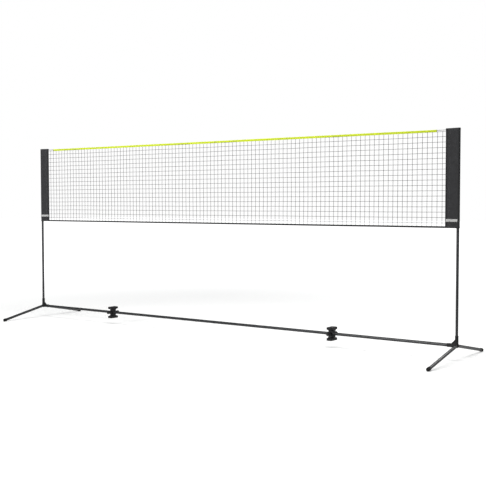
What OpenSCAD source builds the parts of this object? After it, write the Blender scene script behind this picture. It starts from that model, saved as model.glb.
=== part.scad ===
// Portable net stand: two telescoping posts on T-shaped feet, tied by a sectional crossbar,
// carry a square-mesh net between two fabric pole sleeves.
// X runs along the net, Y across it and Z up. The origin is on the floor, midway between the
// posts. Sizes are in millimetres. The model is drawn with the posts at their full height.

/* [Stand] */
// Distance between the axes of the two posts
span = 4080; // [3000:10:5200]
// Height of the crossbar's axis above the floor
bar_height = 102.4; // [90:0.2:140]
// Outer diameter of the lower posts
post_od = 19; // [17:0.5:22]
// Outer diameter of the crossbar and the legs
base_od = 22; // [20:0.5:24]
// Wall of every tube
tube_wall = 1; // [0.8:0.1:1.4]
// Distance of the left crossbar coupler from the middle of the stand
left_coupler_x = 1143; // [600:1:1300]
// Distance of the right crossbar coupler from the middle of the stand
right_coupler_x = 1074; // [600:1:1300]
// Length of the ferrule inside the crossbar's middle joint
ferrule_len = 120; // [60:1:200]
// Radial gap between a tube and the socket or ferrule that holds it
socket_gap = 0.1; // [0.05:0.05:0.3]

/* [Legs and feet] */
// Distance across the net from a post's axis to the middle of a foot cap
leg_reach = 455; // [350:1:600]
// Outer diameter of a foot cap, whose axis crosses its middle at half this height
foot_od = 27; // [27:0.5:32]
// Length of a foot cap
foot_len = 25; // [20:1:36]
// Rubber between a leg's end and the outer face of its foot cap
foot_end_wall = 4; // [2:0.5:8]
// Radius of the foot cap's outer edge
foot_edge = 3; // [1:0.5:5]

/* [Hubs] */
// Wall of a hub socket round its tube
socket_wall = 2.4; // [2:0.1:5]
// Reach of the post socket above the crossbar's axis
post_socket_len = 66; // [45:1:90]
// Reach of the crossbar socket from the post's axis
bar_socket_len = 66; // [45:1:90]
// Length of hub left between its core and the end of a leg
leg_stub = 3; // [2:0.5:10]
// Reach of each leg's spigot from the post's axis
leg_spigot_len = 62; // [45:1:110]
// Plastic between the seat of a tube and the bores that cross it
seat_web = 4.5; // [3:0.5:8]
// Extra radius of the bead round a socket's mouth
bead_rise = 0.8; // [0.4:0.1:2]
// Width of the bead round a socket's mouth
bead_w = 5; // [2:0.5:10]
// Sides of the triangular gusset, measured from the hub's centre
gusset_side = 52; // [36:1:60]
// Thickness of the gusset
gusset_t = 8; // [4:0.5:14]

/* [Crossbar couplers] */
// Height of a coupler
coupler_h = 98; // [90:1:130]
// Width of the coupler's top and bottom flanges, whose ends are rounded to this diameter
flange_w = 90; // [80:1:110]
// Thickness of a coupler along the crossbar
coupler_t = 48; // [30:1:60]
// Reach of the front and rear arms from the crossbar's axis
arm_reach = 68; // [56:1:80]
// Height of the front and rear arms
arm_h = 22; // [16:0.5:24]
// Width of the coupler's waist between two cradles
waist_w = 24; // [20:0.5:32]
// Height of a storage cradle, from an arm to the flange
cradle_h = 20; // [16:0.5:24]
// Radius of a storage cradle where its waist runs into its flange
cradle_r = 14; // [8:0.5:16]
// Bevel at the tip of an arm
arm_bevel = 2; // [1:0.5:4]
// Drop of a flange's crowned edge from its middle to its tips
flange_crown = 3; // [2:0.5:6]
// Length of the collar on each side of a coupler
collar_len = 5; // [4:1:20]
// Thickness of the stop between the two tubes in a coupler
stop_t = 3; // [2:0.5:6]

/* [Telescoping posts] */
// Radial gap between a lower post and the upper post inside it
slide_gap = 0.5; // [0.3:0.05:0.8]
// Radial gap between an upper post and the collar that guides it
guide_gap = 0.15; // [0.1:0.05:0.3]
// Length of upper post left inside the lower post at full height
post_overlap = 110; // [95:1:140]
// How far the lower post reaches up into its sleeve at full height
mouth_cover = 35; // [10:1:60]
// Height of the guide collar's skirt on the lower post
guide_skirt = 12; // [8:1:20]
// Thickness of the guide collar's top
guide_top = 3; // [2:0.5:5]
// Wall of the guide collar's skirt
guide_wall = 1.1; // [0.8:0.1:1.4]
// Length of the guide plug's shoulder below the upper post
plug_shoulder = 8; // [4:1:16]
// Length of the guide plug inside the upper post
plug_stem = 12; // [8:1:16]
// Diameter of the cap on an upper post
cap_od = 21; // [19:0.5:22]
// Height of the cap on an upper post
cap_h = 20; // [12:1:25]
// Thickness of the cap's top
cap_top = 4; // [2:0.5:8]

/* [Snap buttons] */
// Diameter of a snap button
button_d = 7; // [5:0.5:8]
// Radial gap between a button and its holes
button_gap = 0.3; // [0.2:0.05:0.5]
// How far a button stands out from the lower post
button_proud = 3; // [2:0.1:4]
// Radius of the flange behind a button
button_flange_r = 5; // [4.5:0.1:5.2]
// Thickness of the flange behind a button
button_flange_t = 1.4; // [1:0.1:1.6]
// Distance of a button below its sleeve
button_drop = 35; // [25:1:45]
// Number of height holes in a lower post
hole_count = 7; // [2:1:7]
// Distance between neighbouring height holes
hole_pitch = 100; // [40:1:100]
// Thickness of the button's leaf spring
leaf_t = 0.8; // [0.5:0.1:1.2]
// Width of the button's leaf spring
leaf_w = 5; // [3:0.5:5.4]
// Length of the leaf spring from its bend to the button's axis
leaf_len = 22; // [16:1:24]

/* [Net sleeves] */
// Height of the sleeves' top edge above the floor
sleeve_top = 1566; // [1500:1:1900]
// Length of a sleeve
sleeve_len = 671; // [665:1:760]
// Distance from a post's axis to its sleeve's inner edge
sleeve_w = 90; // [70:1:140]
// Radius of the sleeve where it wraps the post
sleeve_r = 12.5; // [12.3:0.1:16]
// Thickness of the sleeve's fabric
sleeve_wall = 1.2; // [0.6:0.1:1.4]
// Width of the sewn band along the sleeve's inner edge
seam_w = 25; // [12:1:40]
// Thickness of the sleeve at its inner edge
seam_t = 6; // [4:0.5:8]
// Width of the pocket's hollow where it ends at the sewn band
pocket_tip = 0.8; // [0.4:0.1:2]
// Height of the bare label strip
label_h = 18; // [8:1:40]
// Distance from the sleeve's bottom edge to the middle of the label strip
label_z = 52; // [30:1:120]
// Margin between the label strip and the ends of the sleeve's flat side
label_margin = 4; // [1:0.5:10]
// Thickness of the label strip
label_t = 0.6; // [0.4:0.1:1]

/* [Net] */
// Height of the yellow top tape
top_tape_h = 18; // [14:1:40]
// Thickness of the yellow top tape
top_tape_t = 2.2; // [2:0.2:3]
// Distance from the sleeve's top edge to the middle of the top tape
top_tape_drop = 14.5; // [12:0.5:30]
// Gap between each end of the top tape and its sleeve
top_tape_gap = 65; // [20:1:150]
// Diameter of the cord that runs through the top tape
cord_d = 3.5; // [2:0.5:5]
// Height of that cord above the middle of the top tape
cord_rise = 4; // [0:0.5:6]
// Radial gap between the cord and its channel
cord_gap = 0.2; // [0.1:0.1:0.4]
// Fabric between the cord's channel and the outside of the tape
channel_wall = 1; // [0.6:0.1:1.5]
// Height of the black bottom tape
bottom_tape_h = 12; // [6:1:20]
// Thickness of the black bottom tape
bottom_tape_t = 2.4; // [1.6:0.2:4]
// Gaps counted along the net
net_columns = 42; // [10:1:42]
// Gaps counted down the net
net_rows = 7; // [3:1:7]
// Thickness of the net's thread
net_thread = 1.6; // [1:0.1:2.4]

/* [Hidden] */
$fn = 64;

left = -1;
right = 1;
front = -1;
rear = 1;
cut = 1; // overrun of a cutting solid

post_x = span / 2;
post_r = post_od / 2;
base_r = base_od / 2;
post_bore_r = post_r + socket_gap;
base_bore_r = base_r + socket_gap;
post_seat = base_bore_r + seat_web;
bar_seat = post_bore_r + seat_web;
hub_core_r = post_seat + 1;
leg_seat = hub_core_r + leg_stub;
insert_r = base_r - tube_wall - socket_gap;

foot_axis_z = foot_od / 2;
leg_drop = bar_height - foot_axis_z;
leg_slope = atan2(leg_drop, leg_reach);
leg_run = norm([leg_reach, leg_drop]);
leg_end = leg_run + foot_len / 2 - foot_end_wall;

bar_joint_x = (right_coupler_x - left_coupler_x) / 2;
cradle_y = waist_w / 2 + cradle_r;
cradle_top = arm_h / 2 + cradle_h;
cradle_z = cradle_top - cradle_r;
crown_r = (pow(flange_w / 2, 2) + pow(flange_crown, 2)) / (2 * flange_crown);

sleeve_bottom = sleeve_top - sleeve_len;
lower_top = sleeve_bottom + mouth_cover;
upper_r = post_r - tube_wall - slide_gap;
upper_bottom = lower_top - post_overlap;
cap_seat = sleeve_top - sleeve_wall;
upper_top = cap_seat - cap_top;
button_z = sleeve_bottom - button_drop;
button_tip = post_r + button_proud;
upper_bore_r = upper_r - tube_wall;
button_back = sqrt(pow(upper_bore_r - guide_gap, 2) - pow(button_flange_r, 2)) - button_flange_t;
hole_r = button_d / 2 + button_gap;
leaf_wall_y = -sqrt(pow(upper_bore_r - guide_gap, 2) - pow(leaf_w / 2, 2));

pocket_r = sleeve_r - sleeve_wall;
net_half = post_x - sleeve_w;
tape_z = sleeve_top - top_tape_drop;
cord_z = tape_z + cord_rise;
channel_r = cord_d / 2 + cord_gap;
net_bottom = sleeve_bottom + bottom_tape_h;
net_top = tape_z - top_tape_h / 2;

steel = "#46484b";
nylon = "#232426";
rubber = "#1b1b1c";
fabric = "#3a3a3b";
spring_steel = "#9a9da1";
label_white = "#c9c9c6";
neon = "#cddc38";
thread_black = "#2c2c2e";

// ---- helpers ----

// Draws a right-hand piece on either side of the stand.
module on_side(side) {
    if (side == left) mirror([1, 0, 0]) children();
    else children();
}

// Stands a piece drawn up the Z axis along a leg, from the hub's centre outwards and down.
module along_leg(way) {
    translate([post_x, 0, bar_height])
        rotate([-way * (90 + leg_slope), 0, 0]) children();
}

// Lays a piece drawn up the Z axis along the crossbar, from the hub's centre inwards.
module along_bar() {
    translate([post_x, 0, bar_height]) rotate([0, -90, 0]) children();
}

module tube(length, radius) {
    difference() {
        cylinder(h = length, r = radius);
        translate([0, 0, -cut]) cylinder(h = length + 2 * cut, r = radius - tube_wall);
    }
}

// A hub socket from the hub's centre to its mouth, with the bead round the mouth.
module socket_body(length, bore_r) {
    cylinder(h = length, r = bore_r + socket_wall);
    translate([0, 0, length - bead_w])
        cylinder(h = bead_w, r = bore_r + socket_wall + bead_rise);
}

module socket_bore(seat, length, bore_r) {
    translate([0, 0, seat]) cylinder(h = length - seat + cut, r = bore_r);
}

// ---- feet, legs and hubs ----

// A stub as thick as a leg, and the spigot on it that fills the leg's end.
module leg_spigot() {
    cylinder(h = leg_seat, r = base_r);
    cylinder(h = leg_spigot_len, r = insert_r);
}

module hub(side) color(nylon) on_side(side) difference() {
    union() {
        translate([post_x, 0, bar_height]) sphere(r = hub_core_r);
        translate([post_x, 0, bar_height]) socket_body(post_socket_len, post_bore_r);
        along_bar() socket_body(bar_socket_len, base_bore_r);
        for (way = [front, rear]) along_leg(way) leg_spigot();
        translate([post_x, gusset_t / 2, bar_height]) rotate([90, 0, 0])
            linear_extrude(gusset_t)
                polygon([[0, 0], [-gusset_side, 0], [0, gusset_side]]);
    }
    translate([post_x, 0, bar_height]) socket_bore(post_seat, post_socket_len, post_bore_r);
    along_bar() socket_bore(bar_seat, bar_socket_len, base_bore_r);
}

module leg(side, way) color(steel) on_side(side)
    along_leg(way) translate([0, 0, leg_seat]) tube(leg_end - leg_seat, base_r);

// A rubber cap with a rounded outer edge and a flat sole on the floor.
module foot(side, way) color(rubber) on_side(side) difference() {
    along_leg(way) translate([0, 0, leg_run - foot_len / 2]) difference() {
        rotate_extrude() union() {
            square([foot_od / 2, foot_len - foot_edge]);
            square([foot_od / 2 - foot_edge, foot_len]);
            translate([foot_od / 2 - foot_edge, foot_len - foot_edge]) intersection() {
                circle(r = foot_edge);
                square(foot_edge);
            }
        }
        translate([0, 0, -cut]) cylinder(h = foot_len - foot_end_wall + cut, r = base_bore_r);
    }
    translate([0, -leg_reach - foot_len * 2, -foot_od])
        cube([span, (leg_reach + foot_len * 2) * 2, foot_od]);
}

// ---- crossbar ----

function coupler_x(side) = side == left ? left_coupler_x : right_coupler_x;

module end_bar(side) color(steel) on_side(side)
    along_bar() translate([0, 0, bar_seat])
        tube(post_x - bar_seat - coupler_x(side) - stop_t / 2, base_r);

// The two centre bars are equally long and meet halfway between the couplers.
module centre_bar(side) color(steel) on_side(side)
    translate([side * bar_joint_x, 0, bar_height]) rotate([0, 90, 0])
        tube(coupler_x(side) - side * bar_joint_x - stop_t / 2, base_r);

module bar_ferrule() color(steel)
    translate([bar_joint_x - ferrule_len / 2, 0, bar_height]) rotate([0, 90, 0])
        tube(ferrule_len, insert_r);

// The hourglass outline of a coupler, drawn in to its waist by the storage cradles.
module coupler_outline() difference() {
    intersection() {
        square([flange_w, coupler_h], center = true);
        for (end = [-1, 1]) translate([0, end * (coupler_h / 2 - crown_r)])
            circle(r = crown_r, $fn = 240);
    }
    for (y = [-1, 1]) {
        for (z = [-1, 1]) translate([y * cradle_y, z * cradle_z]) circle(r = cradle_r);
        translate([y * (cradle_y + flange_w / 2), 0])
            square([flange_w, 2 * cradle_top], center = true);
        translate([y * (waist_w + flange_w) / 2, 0])
            square([flange_w, 2 * cradle_z], center = true);
    }
}

// The round arm that crosses a coupler from front to rear, bevelled at both tips.
module coupler_arm() {
    rotate([0, 90, 0]) cylinder(h = 2 * (arm_reach - arm_bevel), d = arm_h, center = true);
    for (end = [-1, 1]) rotate([0, end * 90, 0]) translate([0, 0, arm_reach - arm_bevel])
        cylinder(h = arm_bevel, r1 = arm_h / 2, r2 = arm_h / 2 - arm_bevel);
}

module coupler(side) color(nylon) on_side(side)
    translate([coupler_x(side), 0, bar_height]) rotate([90, 0, 90]) difference() {
        union() {
            intersection() {
                translate([0, 0, -coupler_t / 2]) linear_extrude(coupler_t) coupler_outline();
                rotate([90, 0, 0]) cylinder(h = 2 * coupler_h, d = flange_w, center = true);
            }
            coupler_arm();
            translate([0, 0, -coupler_t / 2 - collar_len])
                cylinder(h = coupler_t + 2 * collar_len, r = base_bore_r + socket_wall);
        }
        for (end = [-1, 1])
            translate([0, 0, end * (stop_t / 2 + coupler_t / 2 + collar_len)])
                cylinder(h = coupler_t + 2 * collar_len, r = base_bore_r, center = true);
    }

// ---- posts ----

// Drills one button hole through the rear wall of a post.
module button_hole(z) {
    translate([0, 0, z]) rotate([-90, 0, 0]) cylinder(h = post_od, r = hole_r);
}

module lower_post(side) color(steel) on_side(side) translate([post_x, 0, 0]) difference() {
    translate([0, 0, bar_height + post_seat]) tube(lower_top - bar_height - post_seat, post_r);
    for (i = [0 : hole_count - 1]) button_hole(button_z - i * hole_pitch);
}

module guide_collar(side) color(nylon) on_side(side)
    translate([post_x, 0, lower_top - guide_skirt]) difference() {
        cylinder(h = guide_skirt + guide_top, r = post_bore_r + guide_wall);
        translate([0, 0, -cut]) cylinder(h = guide_skirt + cut, r = post_bore_r);
        cylinder(h = guide_skirt + guide_top + cut, r = upper_r + guide_gap);
    }

module upper_post(side) color(steel) on_side(side) translate([post_x, 0, 0]) difference() {
    translate([0, 0, upper_bottom]) tube(upper_top - upper_bottom, upper_r);
    button_hole(button_z);
}

module guide_plug(side) color(nylon) on_side(side)
    translate([post_x, 0, upper_bottom - plug_shoulder]) {
        cylinder(h = plug_shoulder, r = upper_r + slide_gap - guide_gap);
        cylinder(h = plug_shoulder + plug_stem, r = upper_r - tube_wall - socket_gap);
    }

module post_cap(side) color(rubber) on_side(side)
    translate([post_x, 0, cap_seat - cap_h]) difference() {
        cylinder(h = cap_h, r = cap_od / 2);
        translate([0, 0, -cut]) cylinder(h = cap_h - cap_top + cut, r = upper_r + socket_gap);
    }

// A round-nosed button with the flange that keeps it inside the upper post.
module snap_button(side) color(spring_steel) on_side(side)
    translate([post_x, 0, button_z]) rotate([-90, 0, 0]) {
        translate([0, 0, button_back]) cylinder(h = button_flange_t, r = button_flange_r);
        translate([0, 0, button_back])
            cylinder(h = button_tip - button_back - 1, r = button_d / 2);
        translate([0, 0, button_tip - 1]) cylinder(h = 1, r1 = button_d / 2, r2 = button_d / 2 - 1);
    }

// A V-shaped leaf: one arm lies on the post's front wall, the other presses on the button.
module leaf_spring(side) color(spring_steel) on_side(side)
    translate([post_x - leaf_w / 2, 0, button_z]) rotate([90, 0, 90]) linear_extrude(leaf_w)
        polygon([
            [leaf_wall_y, button_flange_r], [leaf_wall_y, -leaf_len],
            [leaf_wall_y + 2 * leaf_t, -leaf_len],
            [button_back, -button_flange_r], [button_back, button_flange_r],
            [button_back - leaf_t, button_flange_r], [button_back - leaf_t, -button_flange_r],
            [leaf_wall_y + leaf_t, -leaf_len + leaf_t], [leaf_wall_y + leaf_t, button_flange_r]
        ]);

// ---- sleeves ----

// Angle at which a line from [-reach, half] touches a circle round the origin.
function touch_angle(r, reach, half) =
    atan2(half, -reach) - acos(r / norm([reach, half]));

// A drop-shaped outline: a circle round the post, drawn in on both sides to a blunt end.
module drop(r, reach, half) {
    a = touch_angle(r, reach, half);
    circle(r = r);
    polygon([
        [r * cos(a), r * sin(a)], [-reach, half], [-reach, -half], [r * cos(a), -r * sin(a)]
    ]);
}

module sleeve(side) color(fabric) on_side(side)
    translate([post_x, 0, sleeve_bottom]) difference() {
        linear_extrude(sleeve_len) drop(sleeve_r, sleeve_w, seam_t / 2);
        translate([0, 0, -cut]) linear_extrude(sleeve_len - sleeve_wall + cut)
            drop(pocket_r, sleeve_w - seam_w, pocket_tip / 2);
    }

// A bare strip on the flat front side of the sleeve.
module label(side) color(label_white) on_side(side) {
    a = touch_angle(sleeve_r, sleeve_w, seam_t / 2);
    inner = [-sleeve_w, seam_t / 2];
    flat_side = [sleeve_r * cos(a), sleeve_r * sin(a)] - inner;
    translate([post_x, 0, sleeve_bottom + label_z]) mirror([0, 1, 0])
        translate([inner[0], inner[1], -label_h / 2])
            rotate([0, 0, atan2(flat_side[1], flat_side[0])])
                translate([label_margin, 0, 0])
                    cube([norm(flat_side) - 2 * label_margin, label_t, label_h]);
}

// ---- net ----

module netting() color(thread_black)
    translate([0, net_thread / 2, 0]) rotate([90, 0, 0]) linear_extrude(net_thread)
        difference() {
            translate([-net_half, net_bottom]) square([2 * net_half, net_top - net_bottom]);
            column = (2 * net_half - net_thread) / net_columns;
            row = (net_top - net_bottom - net_thread) / net_rows;
            for (i = [0 : net_columns - 1], j = [0 : net_rows - 1])
                translate([
                    -net_half + net_thread + i * column, net_bottom + net_thread + j * row
                ])
                    square([column - net_thread, row - net_thread]);
        }

// The folded top tape, with the channel that its cord runs in.
module top_tape() color(neon) {
    length = 2 * (net_half - top_tape_gap);
    translate([-length / 2, 0, tape_z]) rotate([90, 0, 90]) linear_extrude(length)
        difference() {
            union() {
                square([top_tape_t, top_tape_h], center = true);
                translate([0, cord_rise]) circle(r = channel_r + channel_wall);
            }
            translate([0, cord_rise]) circle(r = channel_r);
        }
}

module top_cord() color(thread_black)
    translate([-net_half, 0, cord_z]) rotate([0, 90, 0])
        cylinder(h = 2 * net_half, d = cord_d, $fn = 24);

module bottom_tape() color(thread_black)
    translate([-net_half, -bottom_tape_t / 2, sleeve_bottom])
        cube([2 * net_half, bottom_tape_t, bottom_tape_h]);

hub(left);  // left_hub
hub(right);  // right_hub
leg(left, front);  // left_front_leg
leg(left, rear);  // left_rear_leg
leg(right, front);  // right_front_leg
leg(right, rear);  // right_rear_leg
foot(left, front);  // left_front_foot
foot(left, rear);  // left_rear_foot
foot(right, front);  // right_front_foot
foot(right, rear);  // right_rear_foot
end_bar(left);  // left_end_bar
centre_bar(left);  // left_centre_bar
centre_bar(right);  // right_centre_bar
end_bar(right);  // right_end_bar
bar_ferrule();
coupler(left);  // left_coupler
coupler(right);  // right_coupler
lower_post(left);  // left_lower_post
lower_post(right);  // right_lower_post
guide_collar(left);  // left_guide_collar
guide_collar(right);  // right_guide_collar
upper_post(left);  // left_upper_post
upper_post(right);  // right_upper_post
guide_plug(left);  // left_guide_plug
guide_plug(right);  // right_guide_plug
post_cap(left);  // left_post_cap
post_cap(right);  // right_post_cap
snap_button(left);  // left_snap_button
snap_button(right);  // right_snap_button
leaf_spring(left);  // left_leaf_spring
leaf_spring(right);  // right_leaf_spring
sleeve(left);  // left_sleeve
sleeve(right);  // right_sleeve
label(left);  // left_label
label(right);  // right_label
netting();
top_tape();
top_cord();
bottom_tape();
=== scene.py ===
# %% [markdown]
# # Dressing a portable net stand
# Two telescoping posts stand on T-shaped feet, a sectional crossbar ties them, and a square-mesh
# net hangs between two fabric pole sleeves. The rigid parts arrive finished from a fixed frame, so
# this lesson gives them their surfaces and makes the soft goods: the net, its tapes and the
# sleeves. Everything is in metres, with X along the net, Y across it and Z up.

# %% Load the fixed frame
import math

import bmesh
import bpy
import numpy as np
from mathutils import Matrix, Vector, noise


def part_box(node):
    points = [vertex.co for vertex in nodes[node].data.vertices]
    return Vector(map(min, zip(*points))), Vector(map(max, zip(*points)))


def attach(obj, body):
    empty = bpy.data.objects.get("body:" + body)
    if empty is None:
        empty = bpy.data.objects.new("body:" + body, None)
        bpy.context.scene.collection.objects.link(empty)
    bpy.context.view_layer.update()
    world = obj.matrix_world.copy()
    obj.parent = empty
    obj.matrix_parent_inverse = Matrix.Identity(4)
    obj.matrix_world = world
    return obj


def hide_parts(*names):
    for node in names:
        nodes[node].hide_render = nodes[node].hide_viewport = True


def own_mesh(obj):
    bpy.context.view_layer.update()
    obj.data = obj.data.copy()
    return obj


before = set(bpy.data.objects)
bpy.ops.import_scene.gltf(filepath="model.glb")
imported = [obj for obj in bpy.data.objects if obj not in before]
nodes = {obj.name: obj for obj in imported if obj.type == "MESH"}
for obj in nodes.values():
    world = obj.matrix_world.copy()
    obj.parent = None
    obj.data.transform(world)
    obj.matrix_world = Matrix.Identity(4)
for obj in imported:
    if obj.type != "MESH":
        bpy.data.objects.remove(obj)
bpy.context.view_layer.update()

# %% [markdown]
# ## Camera
# A long lens from well off to the right makes the near post tall and the far post short. The lens,
# the spot and the tilt are what make those two heights, and the lean of the crossbar, come out
# right together, so they are set once and left alone.

# %% Camera
MM = 0.001

CAMERA_SPOT = (4.3515, -5.692, 1.074)
CAMERA_TURN = 35.65
CAMERA_DIP = 2.65
CAMERA_ROLL = 0.06
LENS = 66.06
SENSOR = 36
SIGHT = 200

lens = bpy.data.cameras.new("camera")
lens.lens = LENS
lens.sensor_width = SENSOR
lens.clip_end = SIGHT
camera = bpy.data.objects.new("camera", lens)
camera.location = CAMERA_SPOT
camera.rotation_euler = (
    math.radians(90 - CAMERA_DIP), math.radians(CAMERA_ROLL), math.radians(CAMERA_TURN)
)
bpy.context.scene.collection.objects.link(camera)
bpy.context.scene.camera = camera
print("camera at", CAMERA_SPOT, "with a lens of", LENS, "mm")

# %% [markdown]
# ## Studio
# A plain pale floor, a white surround and three broad soft lamps, one of them behind. Dark satin
# tube is only readable by the long highlights that run along it, and it takes wide lamps to draw
# those. Lamps fade with distance, so the floor glows more the further it is from the object: it
# meets the surround in white, and close by it still takes the object's shadow.

# %% Colour and node helpers
def linear(code, alpha=1.0):
    """Turns an sRGB hex colour such as '#46484b' into Blender's linear RGBA."""
    channels = [int(code[i:i + 2], 16) / 255 for i in (1, 3, 5)]
    curve = [c / 12.92 if c <= 0.04045 else ((c + 0.055) / 1.055) ** 2.4 for c in channels]
    return (*curve, alpha)


def add(tree, kind, settings=None, links=None):
    """Adds one node, sets its properties or input values, and links its inputs."""
    made = tree.nodes.new(kind)
    for name, value in (settings or {}).items():
        if isinstance(name, int) or name in made.inputs:
            made.inputs[name].default_value = value
        else:
            setattr(made, name, value)
    for name, source in (links or {}).items():
        tree.links.new(source, made.inputs[name])
    return made


def new_material(name):
    """A material with only a Principled shader, and the two nodes that everything hangs from."""
    made = bpy.data.materials.new(name)
    made.use_nodes = True
    tree = made.node_tree
    shader = tree.nodes["Principled BSDF"]
    place = add(tree, "ShaderNodeTexCoord")
    return made, tree, shader, place


# %% Floor and surround
# the share of its white that the studio shows in reflections
MIRRORED = 0.22
# the floor's glow close to the object, and the distances between which it grows to full white
NEAR_GLOW = 0.26
NEAR = 2.2
FAR = 7.0
FLOOR_SIZE = 80
PAPER = "#f4f4f3"
SURROUND_TINT = "#eceef0"
SURROUND_LIGHT = 0.3


def seen_share(tree):
    """1 to the eye and through clear things, a smaller share in reflections, else 0."""
    rays = add(tree, "ShaderNodeLightPath")
    straight = add(tree, "ShaderNodeMath", {"operation": "MAXIMUM"},
                   {0: rays.outputs["Is Camera Ray"], 1: rays.outputs["Is Transmission Ray"]})
    glossy = add(tree, "ShaderNodeMath", {"operation": "MULTIPLY", 1: MIRRORED},
                 {0: rays.outputs["Is Glossy Ray"]})
    return add(tree, "ShaderNodeMath", {"operation": "MAXIMUM"},
               {0: straight.outputs[0], 1: glossy.outputs[0]}).outputs[0]


def pale_floor():
    """Matt white paper that glows more the further it is from the object."""
    bpy.ops.mesh.primitive_plane_add(size=FLOOR_SIZE)
    floor = bpy.context.object
    floor.name = "studio_floor"
    made, tree, shader, place = new_material("studio_paper")
    shader.inputs["Base Color"].default_value = linear(PAPER)
    shader.inputs["Roughness"].default_value = 0.95
    shader.inputs["Specular IOR Level"].default_value = 0.1
    away = add(tree, "ShaderNodeVectorMath", {"operation": "LENGTH"},
               {0: place.outputs["Object"]})
    fade = add(tree, "ShaderNodeMapRange",
               {"interpolation_type": "SMOOTHSTEP", "From Min": NEAR, "From Max": FAR,
                "To Min": NEAR_GLOW, "To Max": 1.0}, {"Value": away.outputs["Value"]})
    share = add(tree, "ShaderNodeMath", {"operation": "MULTIPLY"},
                {0: seen_share(tree), 1: fade.outputs["Result"]})
    glow = add(tree, "ShaderNodeEmission", {"Color": (1, 1, 1, 1)}, {"Strength": share.outputs[0]})
    both = add(tree, "ShaderNodeAddShader", None, {0: shader.outputs[0], 1: glow.outputs[0]})
    tree.links.new(both.outputs[0], tree.nodes["Material Output"].inputs["Surface"])
    floor.data.materials.append(made)


def surround():
    """A dim pale light from all round, which looks white to the eye."""
    world = bpy.data.worlds.new("studio_surround")
    bpy.context.scene.world = world
    world.use_nodes = True
    tree = world.node_tree
    light = add(tree, "ShaderNodeBackground",
                {"Color": linear(SURROUND_TINT), "Strength": SURROUND_LIGHT})
    shown = add(tree, "ShaderNodeBackground", {"Color": (1, 1, 1, 1), "Strength": 1.0})
    both = add(tree, "ShaderNodeMixShader", None,
               {0: seen_share(tree), 1: light.outputs[0], 2: shown.outputs[0]})
    tree.links.new(both.outputs[0], tree.nodes["World Output"].inputs["Surface"])


pale_floor()
surround()
print("floor of", FLOOR_SIZE, "m, white from", FAR, "m on")

# %% Lamps
# name, spot, target, width and height, watts
LAMPS = (
    ("overhead", (0.5, -0.8, 5.0), (0.3, 0, 0.4), (6, 1.4), 160),
    ("front", (-1.6, -7.2, 2.6), (0, 0, 0.8), (2.8, 3.0), 360),
    ("behind", (2.4, 4.0, 3.4), (1.6, 0, 0.2), (3.0, 1.0), 75),
)


def soft_lamp(name, spot, target, size, power):
    """A broad lamp that looks from its spot at its target."""
    made = bpy.data.lights.new(name, "AREA")
    made.shape = "RECTANGLE"
    made.size, made.size_y = size
    made.energy = power
    lamp = bpy.data.objects.new(name, made)
    lamp.location = spot
    lamp.rotation_euler = (Vector(target) - Vector(spot)).to_track_quat("-Z", "Y").to_euler()
    bpy.context.scene.collection.objects.link(lamp)


for lamp in LAMPS:
    soft_lamp(*lamp)
print("lamps:", [lamp[0] for lamp in LAMPS])

bpy.context.scene.view_settings.view_transform = "Standard"

# %% [markdown]
# ## Powder-coated steel tube
# The tubes are thin mild steel, sprayed with dry paint powder and baked. Baked powder is a satin
# plastic skin: dark, with an IOR near 1.5, a soft long highlight, and a faint orange-peel ripple
# a millimetre or two across. Two noises give that: a fine one for the ripple in the bump, and a
# slow one that shifts the roughness a little, as handling does.

# %% Powder coat
# handled patches are about 70 mm across
PATCHES_PER_METRE = 14.0


def satin_skin(name, colour, worn, roughness, ripple_mm, ripple_depth, gloss=0.4):
    """A dark satin surface with an even ripple and slow changes of polish, in object space."""
    made, tree, shader, place = new_material(name)
    ripple = add(tree, "ShaderNodeTexNoise",
                 {"Scale": 1 / (ripple_mm * MM), "Detail": 3.0, "Roughness": 0.55},
                 {"Vector": place.outputs["Object"]})
    slow = add(tree, "ShaderNodeTexNoise",
               {"Scale": PATCHES_PER_METRE, "Detail": 4.0, "Roughness": 0.6},
               {"Vector": place.outputs["Object"]})
    polish = add(tree, "ShaderNodeMapRange",
                 {"From Min": 0.3, "From Max": 0.7,
                  "To Min": roughness - 0.06, "To Max": roughness + 0.08},
                 {"Value": slow.outputs["Fac"]})
    tint = add(tree, "ShaderNodeValToRGB", None, {"Fac": slow.outputs["Fac"]})
    tint.color_ramp.elements[0].position = 0.35
    tint.color_ramp.elements[0].color = linear(colour)
    tint.color_ramp.elements[1].position = 0.8
    tint.color_ramp.elements[1].color = linear(worn)
    bump = add(tree, "ShaderNodeBump", {"Strength": 0.35, "Distance": ripple_depth * MM},
               {"Height": ripple.outputs["Fac"]})
    tree.links.new(tint.outputs["Color"], shader.inputs["Base Color"])
    tree.links.new(polish.outputs["Result"], shader.inputs["Roughness"])
    tree.links.new(bump.outputs["Normal"], shader.inputs["Normal"])
    shader.inputs["IOR"].default_value = 1.5
    shader.inputs["Specular IOR Level"].default_value = gloss
    return made


powder_coat = satin_skin("powder_coated_steel", "#1b1c1e", "#252628", 0.31, 1.6, 0.05)

# %% [markdown]
# ## Moulded nylon and rubber
# The hubs, couplers and collars are injection-moulded nylon. The steel mould is spark-eroded, so
# the plastic comes out with an even fine grain and a dull satin. The foot caps and post caps are
# softer rubber, rougher still and a touch darker. The buttons and their springs are steel with a
# thin bright coat of zinc: a metal, with a fine grain that varies its polish.

# %% Nylon, rubber and plated steel
nylon = satin_skin("moulded_nylon", "#0f0f10", "#18181a", 0.5, 0.9, 0.06, 0.24)
rubber = satin_skin("moulded_rubber", "#0c0c0d", "#141415", 0.7, 0.7, 0.08, 0.25)


GRAINS_PER_METRE = 900.0


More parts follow.
